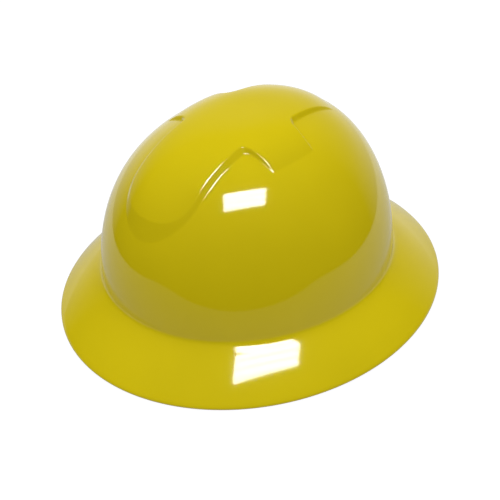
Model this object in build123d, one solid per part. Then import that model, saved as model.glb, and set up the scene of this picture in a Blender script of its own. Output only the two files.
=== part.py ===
from build123d import *
import math
import os

# Full brim hard hat, in millimetres. The brim stands on z = 0, the front faces -Y, the wearer's
# left is +X and the origin is the middle of the brim's outline.

# Headband: a half oval in front, short straight sides and a half circle behind
band_half_width = 80
band_front_reach = 98
band_centre_forward = 5
nape_centre_back = 10
band_thickness = 1.6
band_bottom = 10
band_height = 32
ear_forward = 6
ear_back = 12
ear_round = 8
arm_bottom = 44
arm_height = 12
arm_past_key = 9.2
tab_half_width = 17
tab_depth = 8

# Crown: a low surface, and a raised one that shows only on the arms of the cross
wall = 2.4
crown_side_room = 26.5
crown_front_room = 19.3
crown_rear_room = 24.9
crown_rise = 119.2
raised_top_step = 2
raised_side_inset = 20.9
raised_front_step = 1
raised_rear_inset = 10.8

# Arms of the cross, in plan
pocket_half_width = 31.2
pocket_front = 34.9
pocket_rear = 10
pocket_round = 5
boss_half_width = 28
boss_setback = 14.8
side_arm_inset = 31.5
side_arm_front = 24.5
rear_arm_inset = 29.9
rear_arm_half_width = 23

# Brim
brim_front_reach = 32
brim_side_reach = 28.8
brim_height = 31.7
brim_lip = 1.8
brim_edge_round = 0.8
joint_step = 3.7
flare_radius = 6

# Suspension keys and their sockets in the crown
strap_angle = 38
key_half_width = 11.5
blade_thickness = 2.6
blade_height = 20
blade_setback = 3
bridge_bottom = 40
bridge_thickness = 3
tongue_out = 3.5
tongue_thickness = 1.6
tongue_half_width = 5
tongue_height = 9
lug_wall = 1.8
lug_height = 6
lug_rise = 2.5
cheek_thickness = 2.2
cheek_depth = 5
cheek_land = 0.2
blade_corner_round = 3
bar_radius = 1.4
bar_out = 5.5
bar_rise = 14
socket_wall = 2.2
slot_clearance = 0.3

# Crown straps
strap_width = 17
strap_thickness = 1.2
safety_gap = 36.5
shoulder_drop = 23
shoulder_in = 11
shoulder_run = 34.4
shoulder_radius = 45
top_radius = 70
hem_length = 20

# Sweatband and nape pad
pad_thickness = 3
pad_overhang = 1
pad_end_forward = 14
nape_pad_angle = 22

# Ratchet straps
rack_thickness = 1.6
rack_height = 20
rack_layer_gap = 0.3
rack_end_past = 9.2
rack_end_round = 6
rack_tail_margin = 5
nape_height = 21
tooth_module = 1
pinion_teeth = 9
addendum = 0.9
dedendum = 1.25
backlash = 0.35
turn_tighten = 150
turn_loosen = 100

# Side pivots
stud_radius = 3
stud_flange_radius = 6.5
stud_flange_thickness = 1.6
stud_land = 0.6
stud_point = 1.2
cap_radius = 5.5
cap_thickness = 1.8
open_pivot_clearance = 0.5

# Ratchet housing and knob
housing_angle = 19
housing_rim = 2.6
base_thickness = 1.8
cover_thickness = 1.8
boss_radius = 12.5
boss_step = 0.8
post_radius = 8
post_height = 4.2
hub_radius = 3.6
shaft_radius = 2.4
knob_radius = 17
knob_depth = 9.6
knob_wall = 2
knob_disc = 3.4
knob_hub_radius = 6
knob_grips = 14
grip_radius = 2.2
grip_depth = 0.8
knob_edge_round = 1.4
click_teeth = 24
click_depth = 0.9
spring_width = 1.4
spring_depth = 2.4
spring_nose = 1.1
square_side = 4.4
screw_head_radius = 3.4
screw_head_height = 1.6
screw_radius = 1.4
screw_length = 9
recess_depth = 1.8
driver_slot_width = 0.9
driver_slot_depth = 0.8

# Fits
gap = 0.3
shaft_clearance = 0.08
seam = 0.04
overrun = 1

# How full the crown's sections are, and other plain numbers
side_rise_power = 1.85
end_rise_power = 2.14
crown_side_power = 2.29
crown_end_power = 2.77
raised_side_power = 3.2
raised_front_power = 3.0
raised_rear_power = 3.3
section_count = 12
brim_drop_share = 1.45
brim_top_share = 1.25
seam_search_share = 1.3
flank_slope_share = 0.364
tooth_shift_share = 0.5
driver_reach_share = 0.7

# Worked-out sizes of the crown and brim
crown_front = band_front_reach + band_centre_forward + crown_front_room
crown_rear = band_half_width + nape_centre_back + crown_rear_room
crown_forward = (crown_front - crown_rear) / 2
crown_half_width = band_half_width + crown_side_room
crown_half_length = (crown_front + crown_rear) / 2
joint_front = crown_front + joint_step
joint_rear = crown_rear + joint_step
joint_half_width = crown_half_width + joint_step
brim_half_length = joint_front + brim_front_reach
brim_half_width = joint_half_width + brim_side_reach
raised_rise = crown_rise + raised_top_step
raised_half_width = crown_half_width - raised_side_inset
raised_front_reach = crown_half_length + raised_front_step
raised_rear_reach = crown_half_length - raised_rear_inset
boss_front = crown_front - boss_setback
side_arm_reach = crown_half_width - side_arm_inset
rear_arm_reach = crown_rear - rear_arm_inset

# Worked-out places of what hangs in the crown
bridge_top = bridge_bottom + bridge_thickness
bar_height = bridge_top + bar_rise
strap_top = brim_height + crown_rise - wall - safety_gap
shoulder_height = strap_top - shoulder_drop
housing_half_height = rack_height / 2 + gap + housing_rim
housing_low = nape_height - housing_half_height
housing_high = nape_height + housing_half_height
band_centre = -band_centre_forward
nape_centre = nape_centre_back
pitch_radius = tooth_module * pinion_teeth / 2
tip_radius = pitch_radius + addendum
travel_tighten = pitch_radius * math.radians(turn_tighten)
travel_loosen = pitch_radius * math.radians(turn_loosen)
outer_rack_radius = band_half_width - band_thickness - gap
inner_rack_radius = outer_rack_radius - rack_thickness - rack_layer_gap
base_radius = inner_rack_radius - rack_thickness - gap
cover_radius = outer_rack_radius + gap
boss_face = nape_centre + cover_radius + cover_thickness + boss_step
square_start = boss_face + post_height + gap


def section_share(height_share, rise_power, round_power):
    """Half size of a section, as a share of the half size at the crown's foot."""
    return (1 - height_share ** rise_power) ** (1 / round_power)


def level_ellipse(half_width, front, rear, height):
    """Closed level ellipse that reaches front toward -Y and rear toward +Y."""
    half_length = (front + rear) / 2
    middle = (rear - front) / 2
    if half_length > half_width:
        plane = Plane((0, middle, height), x_dir=(0, 1, 0), z_dir=(0, 0, 1))
        return Wire([Edge.make_ellipse(half_length, half_width, plane=plane)])
    plane = Plane((0, middle, height), x_dir=(1, 0, 0), z_dir=(0, 0, 1))
    return Wire([Edge.make_ellipse(half_width, half_length, plane=plane)])


def domed_solid(half_width, front_reach, rear_reach, rise, powers):
    """Dome over the crown's foot, lofted through level ellipses to its top point."""
    side_power, front_power, rear_power = powers
    wires = []
    for number in range(section_count):
        share = 1 - (1 - number / section_count) ** 2
        width = half_width * section_share(share, side_rise_power, side_power)
        front = front_reach * section_share(share, end_rise_power, front_power)
        rear = rear_reach * section_share(share, end_rise_power, rear_power)
        height = brim_height + rise * share
        wires.append(level_ellipse(width, front + crown_forward, rear - crown_forward, height))
    top = Vertex(0, -crown_forward, brim_height + rise)
    return Solid.make_loft(wires + [top], False)


def brim_solid(drop):
    """Filled cone of the brim over its upright lip, lowered by drop, running on up into the crown."""
    front = brim_half_length + (joint_front - brim_half_length) * brim_top_share
    rear = brim_half_length + (joint_rear - brim_half_length) * brim_top_share
    half_width = brim_half_width + (joint_half_width - brim_half_width) * brim_top_share
    foot = level_ellipse(brim_half_width, brim_half_length, brim_half_length, -drop)
    lip = level_ellipse(brim_half_width, brim_half_length, brim_half_length, brim_lip - drop)
    top = level_ellipse(half_width, front, rear, brim_height * brim_top_share - drop)
    return Solid.make_loft([foot, lip, top], True)


def mirrored(point):
    """The same plan point on the other side of the middle plane."""
    return (-point[0], point[1])


def cross_prism(inset):
    """Upright prism over the raised cross: front arm with a round end, side arms, rear arm."""
    side_front = (side_arm_reach, -side_arm_front + inset)
    side_rear = (side_arm_reach, pocket_rear - inset)
    corner_front = (pocket_half_width - inset, -pocket_front + inset)
    corner_rear = (pocket_half_width - inset, pocket_rear - inset)
    rear_end = (rear_arm_half_width - inset, rear_arm_reach)
    shoulder = (boss_half_width - inset, -boss_front + boss_half_width)
    right_side = [rear_end, corner_rear, side_rear, side_front, corner_front, shoulder]
    left_side = [mirrored(point) for point in reversed(right_side)]
    outline = Polyline(*right_side) + Polyline(*left_side)
    outline += Line(left_side[-1], right_side[0])
    outline += ThreePointArc(shoulder, (0, -boss_front + inset), mirrored(shoulder))
    area = make_face(outline.edges())
    corners = [corner_front, corner_rear, mirrored(corner_front), mirrored(corner_rear)]
    inner_corners = [
        vertex for vertex in area.vertices()
        if any(math.dist((vertex.X, vertex.Y), corner) < overrun for corner in corners)
    ]
    area = fillet(inner_corners, pocket_round + inset)
    prism = extrude(area, crown_rise, dir=(0, 0, 1))
    return Pos(0, 0, brim_height + wall) * prism


def low_crown(inset):
    """Filled low crown, its surface moved in by inset."""
    return domed_solid(
        crown_half_width - inset,
        crown_half_length - inset,
        crown_half_length - inset,
        crown_rise - inset,
        (crown_side_power, crown_end_power, crown_end_power),
    )


def raised_cross(inset):
    """Filled raised cross, its surface and its sides moved in by inset."""
    raised = domed_solid(
        raised_half_width - inset,
        raised_front_reach - inset,
        raised_rear_reach - inset,
        raised_rise - inset,
        (raised_side_power, raised_front_power, raised_rear_power),
    )
    return raised & cross_prism(inset)


def hat_solid(inset, drop):
    """Filled hat: brim and crown with the flare between them rounded, then the raised cross."""
    body = brim_solid(drop) + low_crown(inset)
    seams = [
        edge for edge in body.edges()
        if brim_height - drop < edge.center().Z < brim_height * seam_search_share
        and edge.length > crown_half_length
    ]
    body = fillet(seams, flare_radius + inset)
    return body + raised_cross(inset)


def block(x_range, y_range, z_range):
    """Box between two limits on each axis."""
    size = [high - low for low, high in (x_range, y_range, z_range)]
    middle = [(high + low) / 2 for low, high in (x_range, y_range, z_range)]
    return Pos(*middle) * Box(*size)


def ray_reach(half_width, half_length, middle, end):
    """Distance along a strap's line, from the crossing to a level ellipse, at end -1 or +1."""
    across = math.sin(math.radians(strap_angle))
    along = end * math.cos(math.radians(strap_angle))
    offset_y = band_centre - middle
    square = (across / half_width) ** 2 + (along / half_length) ** 2
    linear = 2 * offset_y * along / half_length ** 2
    rest = (offset_y / half_length) ** 2 - 1
    return (-linear + math.sqrt(linear ** 2 - 4 * square * rest)) / (2 * square)


def band_reach(end):
    """Distance along a strap's line from the crossing to the headband's outer face."""
    if end < 0:
        return ray_reach(band_half_width, band_front_reach, band_centre, end)
    return ray_reach(band_half_width, band_half_width, nape_centre, end)


def wall_reach(height, end):
    """Distance along a strap's line from the crossing to the crown's inner wall."""
    share = (height - brim_height) / crown_rise
    half_width = crown_half_width * section_share(share, side_rise_power, crown_side_power)
    half_length = crown_half_length * section_share(share, end_rise_power, crown_end_power)
    return ray_reach(half_width - wall, half_length - wall, -crown_forward, end)


def key_frame(side, end):
    """Frame of one key: X outward along the strap's line from the headband, Z up."""
    across = side * math.sin(math.radians(strap_angle))
    along = end * math.cos(math.radians(strap_angle))
    reach = band_reach(end)
    corner = (across * reach, band_centre + along * reach, 0)
    return Plane(corner, x_dir=(across, along, 0), z_dir=(0, 0, 1))


def blade_place(end):
    """Distance of the blade's middle from the headband's outer face."""
    return wall_reach(bridge_top + blade_height, end) - band_reach(end) - blade_setback


def polar(radius, angle):
    """Plan point at an angle from the rear toward the wearer's left, round the nape's centre."""
    turn = math.radians(angle)
    return (radius * math.sin(turn), nape_centre + radius * math.cos(turn))


def nape_arc(radius, start, end):
    """Plan arc round the nape's centre, between two angles."""
    return ThreePointArc(polar(radius, start), polar(radius, (start + end) / 2), polar(radius, end))


def bent_wall(inner_radius, outer_radius, low, high, start, end):
    """Upright wall bent round the nape's centre, between two radii, heights and angles."""
    outline = nape_arc(outer_radius, start, end)
    outline += Line(polar(outer_radius, end), polar(inner_radius, end))
    outline += nape_arc(inner_radius, end, start)
    outline += Line(polar(inner_radius, start), polar(outer_radius, start))
    return Pos(0, 0, low) * extrude(make_face(outline.edges()), high - low, dir=(0, 0, 1))


def oval_prism(inset, low, high):
    """Filled oval of the headband, moved in by inset: half oval in front, half circle behind."""
    half_width = band_half_width - inset
    front = Pos(0, band_centre) * Ellipse(half_width, band_front_reach - inset)
    front -= Pos(0, band_centre + band_front_reach) * Rectangle(2 * band_half_width, 2 * band_front_reach)
    sides = Pos(0, (band_centre + nape_centre) / 2) * Rectangle(2 * half_width, nape_centre - band_centre)
    rear = Pos(0, nape_centre) * Circle(half_width)
    return Pos(0, 0, low) * extrude(front + sides + rear, high - low, dir=(0, 0, 1))


def cross_rod(radius, start, end, side):
    """Round rod along X through a side pivot, between two distances from the middle plane."""
    middle = Pos(side * (start + end) / 2, nape_centre, nape_height)
    return middle * Rot(0, 90, 0) * Cylinder(radius, abs(end - start))


def knob_rod(radius, start, end):
    """Round rod along the knob's axis, between two distances toward the rear."""
    return Pos(0, (start + end) / 2, nape_height) * Rot(90, 0, 0) * Cylinder(radius, end - start)


def knob_prism(area, start, end):
    """Prism of a sketch drawn square to the knob's axis."""
    frame = Plane((0, end, nape_height), x_dir=(1, 0, 0), z_dir=(0, -1, 0))
    return frame * extrude(area, end - start, dir=(0, 0, 1))


# Shell: one moulding, with four key sockets open at the bottom on its inner wall


def socket_parts(side, end):
    """Solid block of one socket and the slot in it."""
    middle = blade_place(end)
    slot_half_depth = blade_thickness / 2 + slot_clearance
    slot_half_width = key_half_width + slot_clearance
    mouth = bridge_top + gap
    top = bridge_top + blade_height + slot_clearance
    x_start = middle - slot_half_depth - socket_wall
    half_width = slot_half_width + socket_wall
    solid = block((x_start, crown_half_width), (-half_width, half_width), (mouth, top + socket_wall))
    slot = block(
        (middle - slot_half_depth, middle + slot_half_depth),
        (-slot_half_width, slot_half_width),
        (mouth - overrun, top),
    )
    frame = key_frame(side, end)
    return frame * solid, frame * slot


def make_shell():
    outer = hat_solid(0, 0)
    foot = [
        edge for edge in outer.edges()
        if edge.center().Z < brim_edge_round and edge.length > brim_half_length
    ]
    outer = fillet(foot, brim_edge_round)
    shell = outer - hat_solid(wall, wall * brim_drop_share)
    low = low_crown(wall / 2)
    for side in (1, -1):
        for end in (1, -1):
            solid, slot = socket_parts(side, end)
            shell = shell + (solid & low) - slot
    return shell


# Suspension keys: blade in the socket, bridge, tongue in the headband's lug, bar for the strap


def make_key(side, end):
    middle = blade_place(end)
    back = middle + blade_thickness / 2
    blade = block(
        (middle - blade_thickness / 2, back),
        (-key_half_width, key_half_width),
        (bridge_bottom, bridge_top + blade_height),
    )
    corners = blade.edges().filter_by(Axis.X).group_by(Axis.Z)[-1]
    blade = fillet(corners, blade_corner_round)
    bridge = block((tongue_out, back), (-key_half_width, key_half_width), (bridge_bottom, bridge_top))
    tongue = block(
        (tongue_out, tongue_out + tongue_thickness),
        (-tongue_half_width, tongue_half_width),
        (bridge_bottom, bridge_top + tongue_height),
    )
    key = blade + bridge + tongue
    for hand in (1, -1):
        cheek_y = sorted((hand * key_half_width, hand * (key_half_width - cheek_thickness)))
        cheek = block(
            (bar_out - cheek_depth / 2, bar_out + cheek_depth / 2),
            cheek_y,
            (bridge_bottom, bar_height + cheek_depth / 2),
        )
        top_edges = cheek.edges().filter_by(Axis.Y).group_by(Axis.Z)[-1]
        key += fillet(top_edges, cheek_depth / 2 - cheek_land)
    key += Pos(bar_out, 0, bar_height) * Rot(90, 0, 0) * Cylinder(bar_radius, 2 * key_half_width)
    return key_frame(side, end) * key


# Crown straps: woven webbing, looped over the key bars and sewn, crossing at the top


def make_strap(side, top):
    front = band_reach(-1) + bar_out
    rear = band_reach(1) + bar_out
    points = [
        (front, bar_height),
        (front - shoulder_in, shoulder_height),
        (front - shoulder_in - shoulder_run, top),
        (-rear + shoulder_in + shoulder_run, top),
        (-rear + shoulder_in, shoulder_height),
        (-rear, bar_height),
    ]
    path = FilletPolyline(*points, radius=[shoulder_radius, top_radius, top_radius, shoulder_radius])
    profile = make_face(offset(path, strap_thickness / 2, side=Side.BOTH).edges())
    for bar, shoulder in ((points[0], points[1]), (points[-1], points[-2])):
        leg = Vector(*shoulder) - Vector(*bar)
        hem = Line(bar, Vector(*bar) + leg.normalized() * hem_length)
        profile += make_face(offset(hem, strap_thickness, side=Side.BOTH).edges())
        profile += Pos(*bar) * Circle(bar_radius + gap + strap_thickness)
    for bar in (points[0], points[-1]):
        profile -= Pos(*bar) * Circle(bar_radius + gap)
    across = side * math.sin(math.radians(strap_angle))
    along = -math.cos(math.radians(strap_angle))
    frame = Plane((0, band_centre, 0), x_dir=(across, along, 0), z_dir=(along, -across, 0))
    return extrude(frame * profile, strap_width / 2, both=True)


# Headband: front band with hanger tabs, straight ears at the pivots, rear arms to the rear keys


def make_headband():
    top = arm_bottom + arm_height
    ring = oval_prism(0, band_bottom, top) - oval_prism(band_thickness, band_bottom - overrun, top + overrun)
    front_room = block(
        (-brim_half_width, brim_half_width),
        (-brim_half_length, band_centre),
        (band_bottom, band_bottom + band_height),
    )
    headband = ring & front_room
    arm_end = band_reach(1) * math.sin(math.radians(strap_angle)) - arm_past_key
    arm_room = block((arm_end, brim_half_width), (band_centre, brim_half_length), (arm_bottom, top))
    for side in (1, -1):
        room = arm_room if side > 0 else mirror(arm_room, Plane.YZ)
        headband += ring & room
        ear = block(
            sorted((side * band_half_width, side * (band_half_width - band_thickness))),
            (band_centre - ear_forward, nape_centre + ear_back),
            (band_bottom, top),
        )
        lower_corner = ear.edges().filter_by(Axis.X).group_by(Axis.Z)[0].sort_by(Axis.Y)[-1]
        headband += fillet(lower_corner, ear_round)
        headband -= cross_rod(stud_radius + shaft_clearance, nape_centre, brim_half_width, side)
        for end in (1, -1):
            frame = key_frame(side, end)
            if end < 0:
                tab_room = block(
                    (-tab_depth, tab_depth),
                    (-tab_half_width, tab_half_width),
                    (band_bottom, top),
                )
                headband += ring & (frame * tab_room)
            lug_out = tongue_out + tongue_thickness + gap + lug_wall
            lug_half_width = tongue_half_width + gap + lug_wall
            lug_bottom = arm_bottom + lug_rise
            lug = block(
                (-tab_depth, lug_out),
                (-lug_half_width, lug_half_width),
                (lug_bottom, lug_bottom + lug_height),
            )
            lug = (frame * lug) - oval_prism(band_thickness / 2, arm_bottom, top)
            slot = block(
                (tongue_out - gap, tongue_out + tongue_thickness + gap),
                (-tongue_half_width - gap, tongue_half_width + gap),
                (lug_bottom - overrun, lug_bottom + lug_height + overrun),
            )
            headband = headband + lug - (frame * slot)
    return headband


# Sweatband: soft pad on the inside of the headband's front


def make_sweatband():
    inset = band_thickness + gap
    low = band_bottom - pad_overhang
    high = band_bottom + band_height + pad_overhang
    pad = oval_prism(inset, low, high) - oval_prism(inset + pad_thickness, low - overrun, high + overrun)
    front_room = block(
        (-brim_half_width, brim_half_width),
        (-brim_half_length, band_centre - pad_end_forward),
        (low, high),
    )
    return pad & front_room


# Side pivots: stud from outside through the headband and the ratchet strap, cap inside


def cap_face(side):
    """Outer face of the cap, clear of the strap's end when the band is drawn tight."""
    strap_inner = rack_outer_radius(side) - rack_thickness
    return math.sqrt(strap_inner ** 2 - (cap_radius + travel_tighten) ** 2) - gap


def make_stud(side):
    flange_face = band_half_width + gap
    stud = cross_rod(stud_radius, cap_face(side) - cap_thickness - stud_point, flange_face, side)
    flange = cross_rod(stud_flange_radius, flange_face, flange_face + stud_flange_thickness, side)
    rim = flange.edges().filter_by(GeomType.CIRCLE).sort_by(Axis.X)
    return stud + fillet(rim[-1] if side > 0 else rim[0], stud_flange_thickness - stud_land)


def make_cap(side):
    cap = cross_rod(cap_radius, cap_face(side) - cap_thickness, cap_face(side), side)
    return cap - cross_rod(stud_radius + seam, 0, brim_half_width, side)


# Ratchet straps: bent strips with a toothed slot, the left one inside the right one. The left
# one's teeth are above the pinion and the right one's below it


def rack_outer_radius(side):
    return inner_rack_radius if side > 0 else outer_rack_radius


def make_rack(side):
    outer_radius = rack_outer_radius(side)
    inner_radius = outer_radius - rack_thickness
    middle_radius = (outer_radius + inner_radius) / 2
    low = nape_height - rack_height / 2
    high = nape_height + rack_height / 2
    room = tip_radius + 2 * gap
    slot_tail = math.degrees((travel_loosen + room) / middle_radius)
    slot_head = math.degrees((travel_tighten + room) / middle_radius)
    tail = slot_tail + math.degrees(rack_tail_margin / middle_radius)
    pivot_end = math.degrees(math.pi / 2 + rack_end_past / middle_radius)
    strap = bent_wall(inner_radius, outer_radius, low, high, -tail, pivot_end)
    slot = bent_wall(
        inner_radius - overrun,
        outer_radius + overrun,
        nape_height - pitch_radius - dedendum,
        nape_height + tip_radius + gap,
        -slot_tail,
        slot_head,
    )
    pitch = math.pi * tooth_module
    half_root = pitch / 4 - backlash / 2 + dedendum * flank_slope_share
    half_tip = pitch / 4 - backlash / 2 - addendum * flank_slope_share
    foot = -pitch_radius - dedendum - seam
    tooth = make_face(
        Polyline(
            (-half_root, foot),
            (half_root, foot),
            (half_tip, -pitch_radius + addendum),
            (-half_tip, -pitch_radius + addendum),
            close=True,
        ).edges()
    )
    tooth = knob_prism(tooth, nape_centre, nape_centre + band_half_width)
    first_share = 0 if side > 0 else tooth_shift_share
    for number in range(-pinion_teeth, pinion_teeth):
        angle = math.degrees((number + first_share) * pitch / middle_radius)
        if -slot_tail < angle < slot_head:
            turned = Rot(0, 0, -angle) * (Pos(0, -nape_centre, 0) * tooth)
            slot -= Pos(0, nape_centre, 0) * turned
    strap -= slot
    strap = mirror(strap, Plane.XY.offset(nape_height)) if side > 0 else mirror(strap, Plane.YZ)
    end_edges = [
        edge for edge in strap.edges()
        if edge.center().Y < nape_centre and edge.length < 2 * rack_thickness
        and abs(edge.center().Z - nape_height) > rack_height / 2 - seam
    ]
    strap = fillet(end_edges, rack_end_round)
    hole = cross_rod(stud_radius + open_pivot_clearance, base_radius - overrun, band_half_width, side)
    return strap - hole


# Ratchet housing: base toward the head, cover outside, both joined at their rims


def make_base():
    plate = bent_wall(
        base_radius - base_thickness,
        base_radius,
        housing_low,
        housing_high,
        -housing_angle,
        housing_angle,
    )
    return plate - knob_rod(shaft_radius + shaft_clearance, nape_centre, boss_face)


def make_cover():
    cover = bent_wall(
        cover_radius,
        cover_radius + cover_thickness,
        housing_low,
        housing_high,
        -housing_angle,
        housing_angle,
    )
    inside = cover_radius + cover_thickness / 2
    for low in (housing_low, housing_high - housing_rim):
        cover += bent_wall(base_radius + seam, inside, low, low + housing_rim, -housing_angle, housing_angle)
    boss = knob_rod(boss_radius, nape_centre, boss_face)
    boss -= Pos(0, nape_centre, nape_height) * Cylinder(cover_radius, 2 * boss_radius)
    cover += boss + knob_rod(post_radius, boss_face - overrun, boss_face + post_height)
    return cover - knob_rod(hub_radius + shaft_clearance, nape_centre, boss_face + post_height + overrun)


def make_nape_pad():
    outer_radius = base_radius - base_thickness - gap
    return bent_wall(
        outer_radius - pad_thickness,
        outer_radius,
        housing_low + pad_overhang,
        housing_high - pad_overhang,
        -nape_pad_angle,
        nape_pad_angle,
    )


# Detent spring: ring on the cover's post, with two arms that click on the knob's teeth


def make_detent_spring():
    ring = Circle(post_radius + seam + spring_width) - Circle(post_radius + seam)
    nose_centre = knob_radius - knob_wall - click_depth - gap - spring_nose
    arm_outer = nose_centre + spring_width / 2
    arm = Circle(arm_outer) - Circle(arm_outer - spring_width)
    arm &= Pos(knob_radius / 2, knob_radius / 2) * Rectangle(knob_radius, knob_radius)
    root_place = Pos((post_radius + arm_outer) / 2 + seam, spring_width / 2)
    root = root_place * Rectangle(arm_outer - post_radius - spring_width, spring_width)
    nose = Pos(0, nose_centre) * Circle(spring_nose)
    half = arm + root + nose
    area = ring + half + Rot(0, 0, 180) * half
    start = boss_face + seam
    return knob_prism(area, start, start + spring_depth)


# Knob: cup with finger grips outside and click teeth inside, on the pinion's square end


def make_knob():
    start = boss_face + gap
    end = start + knob_depth
    knob = knob_rod(knob_radius, start, end)
    rims = knob.edges().filter_by(GeomType.CIRCLE)
    knob = fillet(rims.sort_by(Axis.Y)[-1], knob_edge_round)
    grip_place = knob_radius + grip_radius - grip_depth
    for number in range(knob_grips):
        angle = 2 * math.pi * number / knob_grips
        grip = Pos(grip_place * math.cos(angle), grip_place * math.sin(angle)) * Circle(grip_radius)
        knob -= knob_prism(grip, start - overrun, end + overrun)
    root_radius = knob_radius - knob_wall
    points = []
    for number in range(2 * click_teeth):
        radius = root_radius - click_depth * (number % 2)
        angle = math.pi * number / click_teeth
        points.append((radius * math.cos(angle), radius * math.sin(angle)))
    cup = make_face(Polyline(*points, close=True).edges())
    knob -= knob_prism(cup, start - overrun, end - knob_disc)
    knob += knob_rod(knob_hub_radius, square_start, end - knob_disc + seam)
    hole = Rectangle(square_side + 2 * seam, square_side + 2 * seam)
    knob -= knob_prism(hole, start, end - overrun)
    return knob - knob_rod(screw_head_radius + gap, end - recess_depth, end + overrun)


def make_pinion():
    gear_start = nape_centre + base_radius + gap
    gear_end = nape_centre + cover_radius - 2 * gap
    half_pitch = math.pi * tooth_module / 4 - backlash / 2
    half_tip = half_pitch - addendum * flank_slope_share
    root_radius = pitch_radius - dedendum
    tooth = make_face(
        Polyline(
            (-half_pitch, root_radius - addendum / 2),
            (half_pitch, root_radius - addendum / 2),
            (half_pitch, pitch_radius),
            (half_tip, tip_radius),
            (-half_tip, tip_radius),
            (-half_pitch, pitch_radius),
            close=True,
        ).edges()
    )
    area = Circle(root_radius)
    for number in range(pinion_teeth):
        area += Rot(0, 0, 180 + 360 * number / pinion_teeth) * tooth
    pinion = knob_prism(area, gear_start, gear_end)
    pinion += knob_rod(shaft_radius, nape_centre + base_radius - base_thickness + gap, gear_end)
    pinion += knob_rod(hub_radius, gear_end - seam, square_start)
    square_end = boss_face + gap + knob_depth - recess_depth
    pinion += knob_prism(Rectangle(square_side, square_side), square_start - seam, square_end - seam)
    return pinion - knob_rod(screw_radius + seam, square_end - screw_length - gap, square_end + overrun)


def make_screw():
    seat = boss_face + gap + knob_depth - recess_depth
    screw = knob_rod(screw_head_radius, seat + seam, seat + seam + screw_head_height)
    screw += knob_rod(screw_radius, seat - screw_length, seat + screw_head_height)
    slot = Rectangle(2 * screw_head_radius, driver_slot_width)
    slot += Rectangle(driver_slot_width, 2 * screw_head_radius)
    slot &= Circle(screw_head_radius * driver_reach_share)
    top = seat + screw_head_height
    return screw - knob_prism(slot, top - driver_slot_depth, top + overrun)


parts = {
    "shell": make_shell(),
    "headband": make_headband(),
    "sweatband": make_sweatband(),
    "crown_strap_lower": make_strap(1, strap_top),
    "crown_strap_upper": make_strap(-1, strap_top + strap_thickness + seam),
    "ratchet_base": make_base(),
    "ratchet_cover": make_cover(),
    "nape_pad": make_nape_pad(),
    "detent_spring": make_detent_spring(),
    "knob": make_knob(),
    "pinion": make_pinion(),
    "knob_screw": make_screw(),
}
for side, hand in ((1, "left"), (-1, "right")):
    parts["key_front_" + hand] = make_key(side, -1)
    parts["key_rear_" + hand] = make_key(side, 1)
    parts["pivot_stud_" + hand] = make_stud(side)
    parts["pivot_cap_" + hand] = make_cap(side)
    parts["rack_strap_" + hand] = make_rack(side)

os.makedirs("parts", exist_ok=True)
for name, solid in parts.items():
    export_step(solid, "parts/" + name + ".step")
    print(name, round(solid.volume), solid.is_valid)
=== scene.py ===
import math

import bmesh
import bpy
import numpy as np
from mathutils import Matrix, Vector


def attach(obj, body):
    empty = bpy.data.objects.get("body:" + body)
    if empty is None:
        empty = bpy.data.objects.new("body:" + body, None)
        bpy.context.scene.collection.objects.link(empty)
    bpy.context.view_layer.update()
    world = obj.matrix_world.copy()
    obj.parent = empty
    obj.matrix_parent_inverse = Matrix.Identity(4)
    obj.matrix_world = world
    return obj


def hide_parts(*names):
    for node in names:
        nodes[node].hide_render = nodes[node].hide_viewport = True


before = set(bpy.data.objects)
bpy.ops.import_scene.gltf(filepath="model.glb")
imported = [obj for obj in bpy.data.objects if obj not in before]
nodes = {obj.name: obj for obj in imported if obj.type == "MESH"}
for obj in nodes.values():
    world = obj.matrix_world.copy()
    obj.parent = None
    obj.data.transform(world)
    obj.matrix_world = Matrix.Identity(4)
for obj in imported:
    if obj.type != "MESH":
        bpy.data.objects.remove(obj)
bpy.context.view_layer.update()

# Shell: crown and full brim, one thick moulding of glossy high-density plastic.
# The raised cross on the crown is moulded in, and the wall keeps one thickness, so the
# cross shows inside too. A small rounded flare joins the crown to the brim.

mm = 0.001

wall = 2.4
crown_forward = 3.7
crown_half_width = 106.5
crown_half_length = 118.6
crown_foot = 28
crown_rise = 122.9
side_rise_power = 1.93
end_rise_power = 2.24
crown_side_power = 2.29
crown_end_power = 2.77
raised_half_width = 85.6
raised_front_reach = 119.6
raised_rear_reach = 107.8
raised_rise = 124.9
raised_side_power = 3.2
raised_front_power = 3.0
raised_rear_power = 3.3

front_arm_half_width = 31.7
front_arm_round_start = -81
front_arm_end = -110.4
side_arm_corner = (31, -35.2)
side_arm_front_slope = 0.19
side_arm_rear_slope = 0.14
cross_rear_edge = 10.8
rear_arm_half_width = 31
rear_arm_taper = 0.1
cross_corner_round = 4
flank_slope = 0.84
front_end_slope = 0.92
side_arm_wall_slope = 2.2
rear_arm_wall_slope = 1.5
edge_softness = 0.35
foot_softness = 0.2

brim_half_width = 139
brim_half_length = 158
brim_lip = 1.8
joint_step = 3.7
brim_drop = 3.25
brim_bow = 1.5
brim_edge_round = 0.8
lip_turns = (30, 10, -10, -40, -65, -90)
lip_swell = 0.2
flare_run = 2.4
flare_run_inside = 3.3
flare_half_turn = math.radians(21)

columns = 720
column_angles = np.arange(columns) * (2 * math.pi / columns)
outside_steps = (1.6, 0.6)
inside_steps = (3, 2)
relief_start = 18
relief_end = 116
first_row = 1.2
path_points = 4001
foot_start = 0.17
foot_rows = 13
flare_count = 12
flare_count_inside = 8
brim_rows = 22
brim_rows_inside = 13
highest_corner = 0.2
corner_halvings = 30
height_halvings = 34
least_side = 0.05
tiny = 1e-6


def smooth_max(a, b, softness):
    """The larger of two values, rounded where they cross."""
    blend = np.clip(0.5 + 0.5 * (a - b) / softness, 0, 1)
    return b + (a - b) * blend + softness * blend * (1 - blend)


def smooth_min(a, b, softness):
    """The smaller of two values, rounded where they cross."""
    return -smooth_max(-a, -b, softness)


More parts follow.
